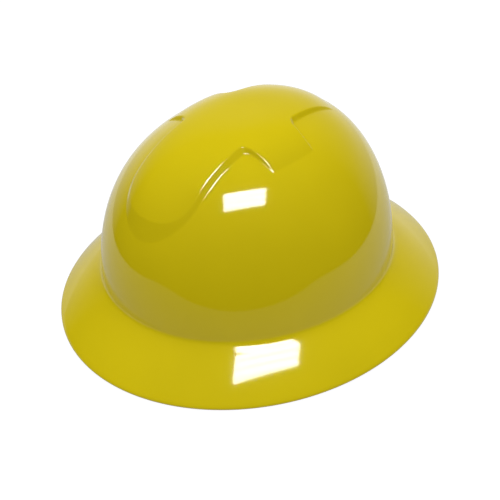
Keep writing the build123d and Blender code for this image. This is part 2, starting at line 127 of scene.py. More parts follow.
def smooth_step(low, high, value):
    """Zero below low, one above high, and a smooth rise between."""
    share = np.clip((value - low) / (high - low), 0, 1)
    return share * share * (3 - 2 * share)


def section_share(share, rise_power, round_power):
    """Half size of the crown's section at a share of its rise."""
    return np.maximum(1 - share ** rise_power, 0) ** (1 / round_power)


def low_point(share, angle, inset):
    """Point on the low crown, moved in by inset."""
    width = (crown_half_width - inset) * section_share(share, side_rise_power, crown_side_power)
    length = (crown_half_length - inset) * section_share(share, end_rise_power, crown_end_power)
    x = width * np.cos(angle)
    y = length * np.sin(angle) - crown_forward
    z = crown_foot + (crown_rise - inset) * share + 0 * angle
    return np.stack(np.broadcast_arrays(x, y, z), axis=-1)


def raised_height(x, y, inset):
    """Height of the raised crown over a plan point, found by halving."""
    low = np.zeros_like(x)
    high = np.ones_like(x)
    front = y < -crown_forward
    reach = np.where(front, raised_front_reach, raised_rear_reach) - inset
    end_power = np.where(front, raised_front_power, raised_rear_power)
    for _ in range(height_halvings):
        middle = (low + high) / 2
        width = (raised_half_width - inset) * section_share(middle, side_rise_power, raised_side_power)
        length = reach * section_share(middle, end_rise_power, end_power)
        across = x / np.maximum(width, tiny)
        along = (y + crown_forward) / np.maximum(length, tiny)
        inside = across ** 2 + along ** 2 < 1
        low = np.where(inside, middle, low)
        high = np.where(inside, high, middle)
    return crown_foot + (raised_rise - inset) * low


def union_round(a, b, radius):
    """Signed distance to two joined shapes, with a fillet of that radius between them."""
    near_a = np.maximum(radius - a, 0)
    near_b = np.maximum(radius - b, 0)
    return np.maximum(radius, np.minimum(a, b)) - np.hypot(near_a, near_b)


def cross_distances(x, y):
    """Signed distances in plan to the feet of the cross's front, side and rear arms."""
    side = np.maximum(np.abs(x), least_side)
    end_depth = front_arm_round_start - front_arm_end
    down = np.maximum(front_arm_round_start - y, 0)
    reach = np.hypot(side / front_arm_half_width, down / end_depth)
    slope = np.hypot(side / front_arm_half_width ** 2, down / end_depth ** 2)
    front = np.maximum(reach * (reach - 1) / np.maximum(slope, tiny), y)
    out = side - side_arm_corner[0]
    front_line = side_arm_corner[1] + side_arm_front_slope * out - y
    rear_line = y - cross_rear_edge + side_arm_rear_slope * out
    sides = np.maximum(front_line, rear_line)
    taper = rear_arm_taper * np.maximum(y - cross_rear_edge, 0)
    rear = np.maximum(side - (rear_arm_half_width - taper), -y)
    return front, sides, rear


def wall_height(x, y, inset):
    """Height of the cross's sloping side walls over their foot, as if they had no top."""
    front, sides, rear = cross_distances(x, y)
    straight = smooth_step(front_arm_end, front_arm_round_start, y)
    slope = front_end_slope + (flank_slope - front_end_slope) * straight
    near_sides = smooth_step(-cross_corner_round, cross_corner_round, front - sides)
    slope = slope + (side_arm_wall_slope - slope) * near_sides
    joined = union_round(front, sides, cross_corner_round)
    near_rear = smooth_step(-cross_corner_round, cross_corner_round, joined - rear)
    slope = slope + (rear_arm_wall_slope - slope) * near_rear
    joined = union_round(joined, rear, cross_corner_round)
    return (-joined - inset / 2) * slope


def relief(x, y, low_height, inset):
    """How far the raised cross stands over the low crown at a plan point."""
    gain = raised_height(x, y, inset) - low_height
    gain = smooth_max(gain, 0 * gain, edge_softness)
    wall_rise = smooth_max(wall_height(x, y, inset), 0 * gain, foot_softness)
    return np.maximum(smooth_min(gain, wall_rise, edge_softness), 0)


def crown_surface(share, angle, inset):
    """Point on the crown with the raised cross on it."""
    point = low_point(share, angle, inset)
    height = point[..., 2]
    point[..., 2] = height + relief(point[..., 0], point[..., 1], height, inset)
    return point


def brim_surface(share, angle, drop):
    """Point on the brim, from the crown's foot at 0 to the lip at 1."""
    half_width = crown_half_width + joint_step
    half_width = half_width + (brim_half_width - half_width) * share
    half_length = crown_half_length + joint_step
    half_length = half_length + (brim_half_length - half_length) * share
    bow = brim_bow * 4 * np.clip(share, 0, 1) * (1 - np.clip(share, 0, 1))
    x = half_width * np.cos(angle)
    y = half_length * np.sin(angle) - crown_forward * (1 - share)
    z = crown_foot + (brim_lip - crown_foot) * share + bow - drop + 0 * angle
    return np.stack(np.broadcast_arrays(x, y, z), axis=-1)


def corner_place(angle, inset, drop):
    """Shares at which the crown and the brim meet in each column, found by halving."""
    low = np.zeros_like(angle)
    high = np.full_like(angle, highest_corner)
    for _ in range(corner_halvings):
        crown_share = (low + high) / 2
        crown = low_point(crown_share, angle, inset)
        brim_share = (crown_foot - drop - crown[..., 2]) / (crown_foot - brim_lip)
        brim = brim_surface(brim_share, angle, drop)
        outside = np.hypot(brim[..., 0], brim[..., 1]) > np.hypot(crown[..., 0], crown[..., 1])
        low = np.where(outside, crown_share, low)
        high = np.where(outside, high, crown_share)
    return crown_share, brim_share


def flare_rows(angle, inset, drop, run, count):
    """Rows of the rounded flare from crown to brim, with the shares where it starts and ends."""
    crown_share, brim_share = corner_place(angle, inset, drop)
    crown_end = crown_share + run / (crown_rise - inset)
    brim_slant = math.hypot(brim_half_width - crown_half_width - joint_step, crown_foot - brim_lip)
    brim_start = brim_share + run / brim_slant
    start = low_point(crown_end, angle, inset)
    end = brim_surface(brim_start, angle, drop)
    corner = (low_point(crown_share, angle, inset) + brim_surface(brim_share, angle, drop)) / 2
    rows = []
    for number in range(1, count):
        share = number / count
        first, last = (1 - share) ** 2, share ** 2
        middle = 2 * math.cos(flare_half_turn) * share * (1 - share)
        rows.append((first * start + middle * corner + last * end) / (first + middle + last))
    return crown_end, brim_start, rows


def crown_shares(coarse, fine):
    """Shares of the rise, from the top down, in steps along the side, finer on the relief."""
    shares = 1 - np.linspace(0, 1, path_points) ** 2
    path = low_point(shares, 0 * shares, 0)
    steps = np.hypot(np.diff(path[:, 0]), np.diff(path[:, 2]))
    along = np.concatenate([[0], np.cumsum(steps)])
    stops = [first_row]
    while stops[-1] < along[-1]:
        on_relief = relief_start < stops[-1] < relief_end
        stops.append(stops[-1] + (fine if on_relief else coarse))
    return np.interp(stops[:-1], along, shares)


def crown_rows(steps, angle, inset, crown_end):
    """Rows of the crown from the top down to the start of the flare."""
    shares = [share for share in crown_shares(*steps) if share >= foot_start]
    rows = [crown_surface(np.full_like(angle, share), angle, inset) for share in shares]
    for number in range(1, foot_rows + 1):
        part = number / foot_rows
        share = foot_start + (crown_end - foot_start) * part + 0 * angle
        rows.append(crown_surface(share, angle, inset))
    return rows


def shell_mesh():
    """The shell's mesh: rows of points round the crown, out over the lip and back up inside."""
    angle = column_angles
    crown_end, brim_start, flare = flare_rows(angle, 0, 0, flare_run, flare_count)
    rows = crown_rows(outside_steps, angle, 0, crown_end) + flare
    lip_share = 1 - brim_edge_round / (brim_half_width - crown_half_width - joint_step)
    for number in range(brim_rows + 1):
        part = number / brim_rows
        rows.append(brim_surface(brim_start + (lip_share - brim_start) * part, angle, 0))
    outline = brim_surface(np.ones_like(angle), angle, 0)
    outward = np.stack([np.cos(angle) / brim_half_width, np.sin(angle) / brim_half_length], axis=-1)
    outward /= np.linalg.norm(outward, axis=-1, keepdims=True)
    for lip_turn in lip_turns:
        turn = math.radians(lip_turn)
        middle = brim_lip - brim_edge_round + lip_swell if lip_turn > 0 else brim_edge_round
        row = outline.copy()
        row[:, :2] += outward * brim_edge_round * (math.cos(turn) - 1)
        row[:, 2] = middle + brim_edge_round * math.sin(turn)
        rows.append(row)
    crown_end, brim_start, flare = flare_rows(
        angle, wall, brim_drop, flare_run_inside, flare_count_inside,
    )
    foot_share = 1 - (brim_drop - brim_lip) / (crown_foot - brim_lip)
    foot_row = brim_surface(foot_share + 0 * angle, angle, 0)
    foot_row[:, 2] = 0
    rows.append(foot_row)
    for number in range(1, brim_rows_inside + 1):
        part = number / brim_rows_inside
        rows.append(brim_surface(foot_share + (brim_start - foot_share) * part, angle, brim_drop))
    rows += reversed(flare)
    rows += reversed(crown_rows(inside_steps, angle, wall, crown_end))
    tops = [crown_surface(np.ones(1), np.zeros(1), inset) for inset in (0, wall)]
    points = np.concatenate(rows + tops)
    first_top, last_top = len(points) - 2, len(points) - 1
    faces = []
    last_row = (len(rows) - 1) * columns
    for here in range(columns):
        there = (here + 1) % columns
        for upper in range(0, last_row, columns):
            lower = upper + columns
            faces.append((upper + here, lower + here, lower + there, upper + there))
        faces.append((first_top, here, there))
        faces.append((last_top, last_row + there, last_row + here))
    mesh = bpy.data.meshes.new("shell_form")
    mesh.from_pydata((points * mm).tolist(), [], faces)
    mesh.shade_smooth()
    mesh.update()
    return mesh


def place_piece(name, mesh, body, material, replaced=()):
    """Puts a mesh in the scene as a piece that rides on a body."""
    piece = bpy.data.objects.new(name, mesh)
    bpy.context.scene.collection.objects.link(piece)
    mesh.materials.append(material)
    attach(piece, body)
    if replaced:
        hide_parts(*replaced)
    return piece


def new_material(name):
    """Material with nothing in it but its output and shader."""
    material = bpy.data.materials.new(name)
    material.use_nodes = True
    tree = material.node_tree
    tree.nodes.clear()
    output = tree.nodes.new("ShaderNodeOutputMaterial")
    shader = tree.nodes.new("ShaderNodeBsdfPrincipled")
    tree.links.new(shader.outputs[0], output.inputs[0])
    return material, tree, shader


def put(tree, socket, value):
    """Links a node's input to another socket, or gives it a plain value."""
    if isinstance(value, bpy.types.NodeSocket):
        tree.links.new(value, socket)
    else:
        socket.default_value = value


def place_in(tree, kind):
    """Texture coordinates of one kind."""
    return tree.nodes.new("ShaderNodeTexCoord").outputs[kind]


def noise(tree, scale, detail, roughness, distortion=0):
    """Noise texture on object coordinates."""
    texture = tree.nodes.new("ShaderNodeTexNoise")
    put(tree, texture.inputs["Scale"], scale)
    texture.inputs["Detail"].default_value = detail
    texture.inputs["Roughness"].default_value = roughness
    texture.inputs["Distortion"].default_value = distortion
    tree.links.new(place_in(tree, "Object"), texture.inputs["Vector"])
    return texture.outputs["Fac"]


def calculate(tree, operation, *values):
    """Math node over sockets and plain numbers."""
    node = tree.nodes.new("ShaderNodeMath")
    node.operation = operation
    for place, value in enumerate(values):
        put(tree, node.inputs[place], value)
    return node.outputs[0]


def ramp(tree, value, stops):
    """Colour ramp over a value, from (place, colour) stops."""
    node = tree.nodes.new("ShaderNodeValToRGB")
    while len(node.color_ramp.elements) < len(stops):
        node.color_ramp.elements.new(0.5)
    for element, (place, colour) in zip(node.color_ramp.elements, stops):
        element.position = place
        element.color = (*colour, 1)
    tree.links.new(value, node.inputs[0])
    return node.outputs[0]


def spread(tree, value, low, high, from_low=0.3, from_high=0.7):
    """Maps a value's range onto low to high."""
    node = tree.nodes.new("ShaderNodeMapRange")
    node.inputs["From Min"].default_value = from_low
    node.inputs["From Max"].default_value = from_high
    put(tree, node.inputs["To Min"], low)
    put(tree, node.inputs["To Max"], high)
    tree.links.new(value, node.inputs["Value"])
    return node.outputs[0]


def add_bump(tree, shader, height, strength, distance, under=None):
    """Bump from a height, on top of another normal if one is given."""
    bump = tree.nodes.new("ShaderNodeBump")
    bump.inputs["Strength"].default_value = strength
    bump.inputs["Distance"].default_value = distance
    tree.links.new(height, bump.inputs["Height"])
    if under is not None:
        tree.links.new(under, bump.inputs["Normal"])
    tree.links.new(bump.outputs[0], shader.inputs["Normal"])
    return bump.outputs[0]


def make_moulded_finish():
    """Shared finish of moulded plastic: a cloudy colour, fine scuffs in the gloss, and grain."""
    group = bpy.data.node_groups.new("moulded_finish", "ShaderNodeTree")
    sockets = (
        ("Colour", "INPUT", "Color"), ("Colour Change", "INPUT", "Float"),
        ("Cloud Scale", "INPUT", "Float"), ("Grain Scale", "INPUT", "Float"),
        ("Least Roughness", "INPUT", "Float"), ("Most Roughness", "INPUT", "Float"),
        ("Colour", "OUTPUT", "Color"), ("Roughness", "OUTPUT", "Float"), ("Grain", "OUTPUT", "Float"),
    )
    for name, way, kind in sockets:
        group.interface.new_socket(name=name, in_out=way, socket_type="NodeSocket" + kind)
    given = group.nodes.new("NodeGroupInput").outputs
    made = group.nodes.new("NodeGroupOutput").inputs
    cloud = noise(group, given["Cloud Scale"], detail=3, roughness=0.5)
    shade = spread(group, cloud, low=-0.5, high=0.5)
    tinted = group.nodes.new("ShaderNodeVectorMath")
    tinted.operation = "SCALE"
    group.links.new(given["Colour"], tinted.inputs[0])
    change = calculate(group, "MULTIPLY_ADD", shade, given["Colour Change"], 1)
    group.links.new(change, tinted.inputs["Scale"])
    group.links.new(tinted.outputs[0], made["Colour"])
    scuff = noise(group, scale=900, detail=5, roughness=0.65, distortion=0.4)
    gloss = spread(group, scuff, given["Least Roughness"], given["Most Roughness"])
    group.links.new(gloss, made["Roughness"])
    grain = noise(group, given["Grain Scale"], detail=2, roughness=0.5)
    group.links.new(grain, made["Grain"])
    return group


moulded_finish = make_moulded_finish()


def moulded(name, colour, change, cloud, grain, rough, depth):
    """Moulded plastic with the shared finish: colour, cloud and grain scales, gloss and depth."""
    material, tree, shader = new_material(name)
    finish = tree.nodes.new("ShaderNodeGroup")
    finish.node_tree = moulded_finish
    given = {
        "Colour": (*colour, 1), "Colour Change": change, "Cloud Scale": cloud, "Grain Scale": grain,
        "Least Roughness": rough[0], "Most Roughness": rough[1],
    }
    for socket, value in given.items():
        finish.inputs[socket].default_value = value
    tree.links.new(finish.outputs["Colour"], shader.inputs["Base Color"])
    tree.links.new(finish.outputs["Roughness"], shader.inputs["Roughness"])
    grained = add_bump(tree, shader, finish.outputs["Grain"], strength=depth, distance=0.0002)
    return material, tree, shader, grained


def shell_plastic():
    """Glossy yellow plastic, with a soft ripple from the moulding under its fine grain."""
    material, tree, shader, grained = moulded(
        "shell_plastic", colour=(0.65, 0.5175, 0.0045), change=0.06, cloud=14, grain=2600,
        rough=(0.055, 0.085), depth=0.009,
    )
    ripple = noise(tree, scale=55, detail=2, roughness=0.4)
    add_bump(tree, shader, ripple, strength=0.06, distance=0.0004, under=grained)
    shader.inputs["IOR"].default_value = 1.5
    return material


yellow = shell_plastic()
place_piece("shell_form", shell_mesh(), "shell", yellow, ["shell"])

# Key sockets: four slotted blocks moulded on the inside of the crown, open at the bottom.
# The suspension keys plug up into them and hold by friction.

band_half_width = 80
band_front_reach = 98
band_centre = -5
nape_centre = 10
strap_angle = math.radians(38)
blade_thickness = 2.6
blade_top = 63
blade_setback = 3
key_half_width = 11.5
slot_clearance = 0.3
slot_round = 0.5
slot_heights = (58, 52, 46)
socket_wall = 2.2
socket_mouth = 43.3
socket_edge = 0.7
block_reach = 12
block_heights = (50, 57)
block_foot_steps = ((1, 0), (0.3, 0.3), (0, 1))
block_top_steps = ((0, 2), (0.3, 0.7), (1, 0.2), (2, 0))
corner_steps = 4
key_places = {"front_left": (1, -1), "front_right": (-1, -1), "rear_left": (1, 1), "rear_right": (-1, 1)}


def reach_to_oval(start, toward, half_width, half_length, middle):
    """Distance from a plan point, along a direction, to a level oval round (0, middle)."""
    step_x, step_y = toward[0] / half_width, toward[1] / half_length
    start_x, start_y = start[0] / half_width, (start[1] - middle) / half_length
    square = step_x ** 2 + step_y ** 2
    linear = step_x * start_x + step_y * start_y
    return (-linear + math.sqrt(linear ** 2 - square * (start_x ** 2 + start_y ** 2 - 1))) / square


def crown_reach(start, toward, height, inset):
    """Distance from a plan point, along a direction, to the crown's wall at one height."""
    share = (height - crown_foot) / crown_rise
    half_width = crown_half_width * section_share(share, side_rise_power, crown_side_power) - inset
    half_length = crown_half_length * section_share(share, end_rise_power, crown_end_power) - inset
    return reach_to_oval(start, toward, half_width, half_length, -crown_forward)


def key_line(side, end):
    """Where a strap's line leaves the headband, and its direction outward, both in plan."""
    toward = (side * math.sin(strap_angle), end * math.cos(strap_angle))
    if end < 0:
        half_length, middle = band_front_reach, band_centre
    else:
        half_length, middle = band_half_width, nape_centre
    reach = reach_to_oval((0, band_centre), toward, band_half_width, half_length, middle)
    return (toward[0] * reach, band_centre + toward[1] * reach), toward


def rounded_outline(half_depth, half_width, radius, along_depth, along_width):
    """Rectangle with rounded corners, as plan points going round."""
    points = []
    for number, (side_x, side_y) in enumerate(((1, 1), (-1, 1), (-1, -1), (1, -1))):
        centre = (side_x * (half_depth - radius), side_y * (half_width - radius))
        for step in range(corner_steps + 1):
            turn = (number + step / corner_steps) * math.pi / 2
            points.append((centre[0] + radius * math.cos(turn), centre[1] + radius * math.sin(turn)))
        count = along_depth if number % 2 == 0 else along_width
        last = points[-1]
        following = (-last[0], last[1]) if number % 2 == 0 else (last[0], -last[1])
        for step in range(1, count):
            share = step / count
            points.append(tuple(a + (b - a) * share for a, b in zip(last, following)))
    return points


def join_rings(form, rings):
    """Faces from each ring of points to the next."""
    for upper, lower in zip(rings, rings[1:]):
        for number in range(len(upper)):
            following = (number + 1) % len(upper)
            form.faces.new((upper[number], upper[following], lower[following], lower[number]))


def finished_mesh(name, form):
    """Smooth mesh from a form, with its faces turned outward."""
    bmesh.ops.recalc_face_normals(form, faces=form.faces)
    mesh = bpy.data.meshes.new(name)
    form.to_mesh(mesh)
    form.free()
    mesh.shade_smooth()
    return mesh


def close_mesh(name, rows):
    """Closed mesh from rows of points that go round, with a fan over each end."""
    form = bmesh.new()
    rings = [[form.verts.new(Vector(point) * mm) for point in row] for row in rows]
    join_rings(form, rings)
    for ring in (rings[0], rings[-1]):
        centre = form.verts.new(sum((vert.co for vert in ring), Vector()) / len(ring))
        for number in range(len(ring)):
            form.faces.new((ring[number], ring[(number + 1) % len(ring)], centre))
    return finished_mesh(name, form)


def socket_mesh(name, side, end):
    """Block round one key's blade, run into the crown's wall, with its slot open below."""
    start, toward = key_line(side, end)
    sideways = (-toward[1], toward[0])
    middle = crown_reach(start, toward, blade_top, wall) - blade_setback
    slot_depth = blade_thickness / 2 + slot_clearance
    slot_width = key_half_width + slot_clearance
    slot_top = blade_top + slot_clearance
    block_top = slot_top + socket_wall
    rows = []

    def add_row(half_depth, half_width, radius, height, reach=0):
        """One row of the slot, or with a reach, of the block that runs into the wall."""
        row = []
        outline = rounded_outline(half_depth + reach / 2, half_width, radius, along_depth=2, along_width=12)
        for depth, across in outline:
            base = (start[0] + sideways[0] * across, start[1] + sideways[1] * across)
            out = middle + depth + reach / 2
            if reach:
                out = min(out, crown_reach(base, toward, height, wall / 2))
            row.append((base[0] + toward[0] * out, base[1] + toward[1] * out, height))
        rows.append(row)

    for height in (slot_top, *slot_heights, socket_mouth + socket_edge):
        add_row(slot_depth, slot_width, slot_round, height)
    add_row(slot_depth + socket_edge / 2, slot_width + socket_edge / 2, slot_round, socket_mouth)
    block_rows = [(inset, socket_mouth + rise * socket_edge) for inset, rise in block_foot_steps]
    block_rows += [(0, height) for height in block_heights]
    block_rows += [(inset, block_top - fall * socket_edge) for inset, fall in block_top_steps]
    for inset, height in block_rows:
        room = socket_wall - inset * socket_edge
        add_row(slot_depth + room, slot_width + room, 2 * socket_edge, height, block_reach)
    return close_mesh(name, rows)


for place, (side, end) in key_places.items():
    name = "socket_" + place
    place_piece(name, socket_mesh(name, side, end), "shell", yellow)

# Suspension keys: black nylon mouldings, each with a blade for the socket, a tongue for the
# headband's lug and a bar for the strap. The headband and straps hang from them.


def finish_nodes(material, *names):
    """Gives CAD nodes their material."""
    for name in names:
        for slot in nodes[name].material_slots:
            slot.material = material


key_nylon, *_ = moulded(
    "key_nylon", colour=(0.016, 0.016, 0.018), change=0.5, cloud=60, grain=2600,
    rough=(0.34, 0.5), depth=0.35,
)
finish_nodes(key_nylon, *("key_" + place for place in key_places))

# Crown straps: two lengths of woven polyester webbing that cross at the top of the head.
# Each end goes round a key's bar and is folded back and sewn; the crossing is sewn too.

strap_width = 17
strap_thickness = 1.2
strap_tops = {"crown_strap_lower": (1, 112), "crown_strap_upper": (-1, 113.24)}
bar_out = 5.5
bar_height = 57
bar_radius = 1.4
bar_gap = 0.3
shoulder_height = 89
shoulder_in = 11
shoulder_run = 34.4
shoulder_radius = 45
top_radius = 70
loop_radius = bar_radius + bar_gap + strap_thickness / 2
loop_steps = 14
loop_run_in = 8
hem_length = 20
hem_run_in = 6
route_step = 1
least_step = 0.5

webbing_edge = 0.45
webbing_fullness = 0.04
webbing_steps = 14
selvage = ((0.3, 0.7), (0, 0), (0.3, -0.7))
rib_pitch = 0.0017
pick_pitch = 0.0011

thread_radius = 0.26
thread_sides = 6
thread_sunk = 0.2
stitch_length = 2.3
stitch_pitch = 3.1
stitch_profile = ((-0.5, 0.35), (-0.36, 0.85), (0, 1), (0.36, 0.85), (0.5, 0.35))
stitch_dip = 0.2
seam_edge = strap_width / 2 - 2.2
hem_seam_start = loop_run_in + 0.5
hem_seam_end = hem_length - 1.5


def filleted(points, radii, step):
    """Points along straight runs joined by arcs."""
    line = [Vector(points[0])]
    for before, corner, after, radius in zip(points, points[1:], points[2:], radii):
        before, corner, after = Vector(before), Vector(corner), Vector(after)
        back = (before - corner).normalized()
        ahead = (after - corner).normalized()
        half_turn = (math.pi - back.angle(ahead)) / 2
        cut = radius * math.tan(half_turn)
        middle = corner + (back + ahead).normalized() * radius / math.cos(half_turn)
        first = corner + back * cut - middle
        count = max(2, round(2 * half_turn * radius / step))
        turning = first.angle_signed(corner + ahead * cut - middle)
        for number in range(count + 1):
            turn = -turning * number / count
            line.append(middle + Vector((
                first.x * math.cos(turn) - first.y * math.sin(turn),
                first.x * math.sin(turn) + first.y * math.cos(turn),
            )))
    line.append(Vector(points[-1]))
    full = [line[0]]
    for start, end in zip(line, line[1:]):
        count = max(1, round((end - start).length / step))
        full += [start.lerp(end, number / count) for number in range(1, count + 1)]
    return full


def leg_offset(distance):
    """How far each layer of the hem stands from the strap's line, at a distance from the bar."""
    near = 1 - float(smooth_step(0, loop_run_in, distance))
    return strap_thickness / 2 + (loop_radius - strap_thickness / 2) * near


def strap_route(side, top):
    """Middle line of one strap in its upright plane: tail, loop, crown, loop and tail."""
    front_start, _ = key_line(side, -1)
    rear_start, _ = key_line(-side, 1)
    front = math.hypot(front_start[0], front_start[1] - band_centre) + bar_out
    rear = math.hypot(rear_start[0], rear_start[1] - band_centre) + bar_out
    points = [
        (front, bar_height), (front - shoulder_in, shoulder_height),
        (front - shoulder_in - shoulder_run, top), (-rear + shoulder_in + shoulder_run, top),
        (-rear + shoulder_in, shoulder_height), (-rear, bar_height),
    ]
    line = filleted(points, (shoulder_radius, top_radius, top_radius, shoulder_radius), route_step)
    ends = []
    for bar, shoulder, hand in ((points[0], points[1], 1), (points[-1], points[-2], -1)):
        bar = Vector(bar)
        leg = (Vector(shoulder) - bar).normalized()
        outward = Vector((leg.y, -leg.x)) * hand
        tail = [
            bar + leg * distance - outward * leg_offset(distance)
            for distance in np.arange(hem_length, 0, -route_step)
        ]
        turns = [number * math.pi / loop_steps for number in range(loop_steps + 1)]
        tail += [bar - (outward * math.cos(turn) + leg * math.sin(turn)) * loop_radius for turn in turns]
        ends.append(tail)
    main = []
    for number, point in enumerate(line):
        near = min((point - line[0]).length, (point - line[-1]).length)
        if near < least_step:
            continue
        along = (line[min(number + 1, len(line) - 1)] - line[max(number - 1, 0)]).normalized()
        outward = Vector((along.y, -along.x))
        fade = 1 - float(smooth_step(hem_length, hem_length + hem_run_in, near))
        main.append(point + outward * leg_offset(near) * fade)
    return ends[0] + main + list(reversed(ends[1]))


def strap_frame(route, side):
    """Points, outward normals and the direction across, in the hat's frame, along a route."""
    line = Vector((side * math.sin(strap_angle), -math.cos(strap_angle), 0))
    across = Vector((line.y, -line.x, 0))
    places, normals = [], []
    for number, point in enumerate(route):
        along = (route[min(number + 1, len(route) - 1)] - route[max(number - 1, 0)]).normalized()
        places.append(Vector((0, band_centre, 0)) + line * point.x + Vector((0, 0, point.y)))
        normals.append(line * along.y - Vector((0, 0, along.x)))
    return places, normals, across


def run_lengths(places):
    """Length travelled along a route to each of its points."""
    lengths = [0.0]
    for before, after in zip(places, places[1:]):
        lengths.append(lengths[-1] + (after - before).length)
    return lengths


def webbing_section():
    """Section of the webbing: flat faces, rounded selvages and a slightly fuller middle."""
    half = strap_width / 2
    section = []
    for hand in (1, -1):
        for number in range(webbing_steps + 1):
            across = half - webbing_edge - (strap_width - 2 * webbing_edge) * number / webbing_steps
            fuller = webbing_fullness * math.cos(across / half * math.pi)
            section.append((across * hand, hand * (strap_thickness / 2 - webbing_fullness + fuller)))
        for inward, lift in selvage:
            section.append((-hand * (half - webbing_edge * inward), hand * webbing_edge * lift))
    return section


def add_map(mesh, name, rows):
    """Map on a closed mesh, from the (along, across) lengths of each point of its rows."""
    spots = [spot for row in rows for spot in row]
    layer = mesh.uv_layers.new(name=name)
    for loop in mesh.loops:
        if loop.vertex_index < len(spots):
            along, across = spots[loop.vertex_index]
            layer.data[loop.index].uv = (along * mm, across * mm)


def webbing_mesh(name, places, normals, across):
    """Webbing along a route, with its length and width kept as a map for the weave."""
    section = webbing_section()
    mesh = close_mesh(name, [
        [place + across * aside + normal * lift for aside, lift in section]
        for place, normal in zip(places, normals)
    ])
    add_map(mesh, "weave_map", [[(length, aside) for aside, _ in section] for length in run_lengths(places)])
    return mesh


def stitches_mesh(name, seams):
    """Thread stitches along seams, each seam a list of points with normals."""
    form = bmesh.new()
    turns = [number * 2 * math.pi / thread_sides for number in range(thread_sides)]
    for seam in seams:
        travelled = stitch_pitch / 2
        for (start, up), (end, _) in zip(seam, seam[1:]):
            run = (end - start).length
            along = (end - start).normalized()
            side = along.cross(up).normalized()
            while travelled < run:
                rings = []
                for reach, size in stitch_profile:
                    middle = start + along * travelled
                    middle = middle + along * reach * stitch_length - up * (stitch_dip * abs(reach))
                    round_thread = [side * math.cos(turn) + up * math.sin(turn) for turn in turns]
                    rings.append([
                        form.verts.new((middle + spoke * thread_radius * size) * mm) for spoke in round_thread
                    ])
                join_rings(form, rings)
                form.faces.new(rings[0])
                form.faces.new(list(reversed(rings[-1])))
                travelled += stitch_pitch
            travelled -= run
    return finished_mesh(name, form)


def seam_points(frame_points, lengths, path, face):
    """Seam on a strap from (length along, distance across) corners, on one face."""
    places, normals, across = frame_points
    lift = strap_thickness / 2 + thread_radius * thread_sunk
    seam = []
    for (start, start_aside), (end, end_aside) in zip(path, path[1:]):
        count = max(1, round(math.hypot(end - start, end_aside - start_aside)))
        for number in range(count):
            share = number / count
            length = start + (end - start) * share
            aside = start_aside + (end_aside - start_aside) * share
            row = min(int(np.searchsorted(lengths, length)), len(places) - 1)
            before = max(row - 1, 0)
            run = max(lengths[row] - lengths[before], tiny)
            part = min(max((length - lengths[before]) / run, 0), 1)
            normal = normals[before].lerp(normals[row], part).normalized()
            place = places[before].lerp(places[row], part)
            seam.append((place + across * aside + normal * face * lift, normal * face))
    return seam


def box_path(start, end):
    """Box seam with one diagonal, between two lengths along a strap."""
    low, high = -seam_edge, seam_edge
    return [(start, low), (start, high), (end, high), (end, low), (start, low), (end, high)]


def strap_seams(frame_points, top_face):
    """Box seams on both hems and on the crossing."""
    places = frame_points[0]
    lengths = run_lengths(places)
    total = lengths[-1]
    loop = math.pi * loop_radius
    near, far = hem_seam_start, hem_seam_end
    hems = (
        (hem_length - near, hem_length - far), (hem_length + loop + near, hem_length + loop + far),
        (total - hem_length + near, total - hem_length + far),
        (total - hem_length - loop - near, total - hem_length - loop - far),
    )
    seams = [seam_points(frame_points, lengths, box_path(start, end), 1) for start, end in hems]
    from_centre = [math.hypot(place.x, place.y - band_centre) for place in places]
    middle = lengths[from_centre.index(min(from_centre))]
    start, end = middle - seam_edge, middle + seam_edge
    for path in (box_path(start, end), [(start, seam_edge), (end, -seam_edge)]):
        seams.append(seam_points(frame_points, lengths, path, top_face))
    return seams


def wave(tree, vector, part, size, phase=0):
    """Smooth wave from 0 to 1 along one part of a mapped place."""
    split = tree.nodes.new("ShaderNodeSeparateXYZ")
    tree.links.new(vector, split.inputs[0])
    turn = calculate(tree, "MULTIPLY_ADD", split.outputs[part], 2 * math.pi / size, phase)
    return calculate(tree, "MULTIPLY_ADD", calculate(tree, "SINE", turn), 0.5, 0.5)


def mapped_place(tree, name):
    """Place on one of a mesh's maps."""
    node = tree.nodes.new("ShaderNodeUVMap")
    node.uv_map = name
    return node.outputs[0]


def mix(tree, factor, first, second, kind="FLOAT"):
    """Mixes two values or colours, the first at factor 0 and the second at 1."""
    node = tree.nodes.new("ShaderNodeMix")
    node.data_type = kind
    for name, value in (("Factor", factor), ("A", first), ("B", second)):
        put(tree, node.inputs[name], value)
    return node.outputs["Result"]


def webbing_cloth():
    """Grey polyester webbing: ribs along it, picks across it, soft sheen and uneven yarns, with painted shade
    darkening the weave's hollows.
    """
    material, tree, shader = new_material("webbing_cloth")
    place = mapped_place(tree, "weave_map")
    ribs = wave(tree, place, "Y", rib_pitch)
    picks = wave(tree, place, "X", pick_pitch)
    offset_picks = wave(tree, place, "X", pick_pitch, math.pi)
    over = calculate(tree, "GREATER_THAN", wave(tree, place, "Y", 2 * rib_pitch), 0.5)
    woven = mix(tree, over, picks, offset_picks)
    height = calculate(tree, "MULTIPLY", calculate(tree, "POWER", ribs, 0.5), woven)
    yarn = noise(tree, scale=700, detail=3, roughness=0.6)
    # Colour follows the weave's height: painted shade in the hollows between yarns, with the yarns' own
    # uneven tone mixed in.
    shade = calculate(tree, "MULTIPLY_ADD", height, 0.7, calculate(tree, "MULTIPLY", yarn, 0.3))
    colour = ramp(tree, shade, [(0.05, (0.2, 0.205, 0.21)), (0.9, (0.6, 0.61, 0.61))])
    tree.links.new(colour, shader.inputs["Base Color"])
    tree.links.new(spread(tree, yarn, low=0.62, high=0.85), shader.inputs["Roughness"])
    shader.inputs["Sheen Weight"].default_value = 0.3
    add_bump(tree, shader, height, strength=0.8, distance=0.0003)
    return material


